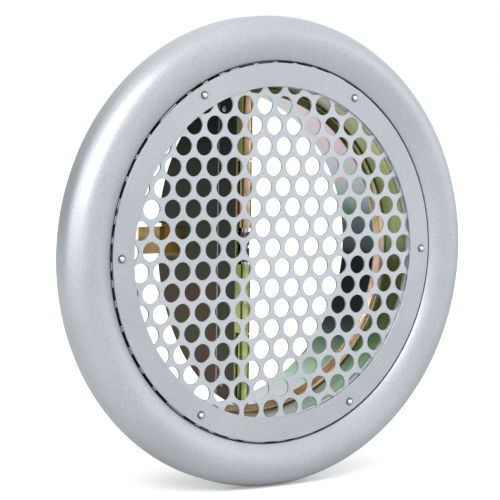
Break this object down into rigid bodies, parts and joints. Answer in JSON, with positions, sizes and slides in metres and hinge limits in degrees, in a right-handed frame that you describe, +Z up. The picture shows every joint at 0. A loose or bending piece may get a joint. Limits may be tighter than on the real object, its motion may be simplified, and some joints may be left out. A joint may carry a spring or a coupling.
{
  "type": "ceiling air diffuser",
  "caption": "Round ceiling air diffuser with a perforated silver face in a rolled trim ring and a pair of spring-closed damper flaps in a chromated tube.",
  "frame": {"origin": "on the duct axis, in the plane of the trim ring's back rim that lies against the ceiling", "axes": "+Y along the duct axis away from the room, so the perforated face looks along -Y; +Z up along the hinge pin as the object stands in its picture, +X to the right seen from the room. Fitted in a ceiling, -Y points down."},
  "size_m": [0.202, 0.0989, 0.202],
  "materials": {
    "ring_metal": "satin silver paint",
    "bezel_metal": "satin silver paint",
    "sheet_metal": "satin silver paint",
    "backing_metal": "satin silver paint",
    "face_rivet_metal": "satin rivet heads",
    "clip_steel": "blued spring steel",
    "chromate_tube": "yellow chromated steel, glossy and iridescent",
    "chromate_flange": "yellow chromated steel",
    "flange_rivet_metal": "plain rivets",
    "foam": "closed-cell foam",
    "chromate_stop": "yellow chromated steel, tan",
    "seal_rubber": "matt moulded rubber",
    "pin_steel": "bright drawn steel",
    "nut_steel": "plated spring steel",
    "bush_brass": "turned brass",
    "chromate_blade_left": "yellow chromated steel, dark and glossy",
    "chromate_leaf_left": "yellow chromated steel, rolled knuckles",
    "leaf_rivet_metal_left": "plain rivets",
    "spring_steel_left": "oiled spring wire",
    "link_metal_left": "rolled brass strip",
    "solder": "low-melting solder",
    "chromate_blade_right": "yellow chromated steel, dark and glossy",
    "chromate_leaf_right": "yellow chromated steel, rolled knuckles",
    "leaf_rivet_metal_right": "plain rivets",
    "spring_steel_right": "oiled spring wire",
    "link_metal_right": "rolled brass strip"
  },
  "bodies": {
    "housing": {"trim_ring": "ring_metal", "bezel_ring": "bezel_metal", "perforated_sheet": "sheet_metal", "backing_ring": "backing_metal", "face_rivets": "face_rivet_metal", "face_clips": "clip_steel", "damper_tube": "chromate_tube", "mounting_flange": "chromate_flange", "flange_rivets": "flange_rivet_metal", "ceiling_gasket": "foam", "stop_ring": "chromate_stop", "duct_seal": "seal_rubber", "hinge_pin": "pin_steel", "pin_push_nut": "nut_steel", "hinge_bushes": "bush_brass"},
    "flap_left": {"flap_blade_left": "chromate_blade_left", "hinge_leaf_left": "chromate_leaf_left", "leaf_rivets_left": "leaf_rivet_metal_left", "closing_spring_left": "spring_steel_left", "link_plate_left": "link_metal_left", "link_solder": "solder"},
    "flap_right": {"flap_blade_right": "chromate_blade_right", "hinge_leaf_right": "chromate_leaf_right", "leaf_rivets_right": "leaf_rivet_metal_right", "closing_spring_right": "spring_steel_right", "link_plate_right": "link_metal_right"}
  },
  "joints": [
    {"name": "flap_left_hinge", "type": "hinge", "parent": "housing", "child": "flap_left", "pos_m": [0, 0.0155, 0], "axis": [0, 0, 1], "range_deg": [0, 88.2]},
    {"name": "flap_right_hinge", "type": "hinge", "parent": "housing", "child": "flap_right", "pos_m": [0, 0.0155, 0], "axis": [0, 0, -1], "range_deg": [0, 88.2]}
  ],
  "couplings": [
    {"joint": "flap_right_hinge", "follows": "flap_left_hinge", "ratio": 1}
  ]
}
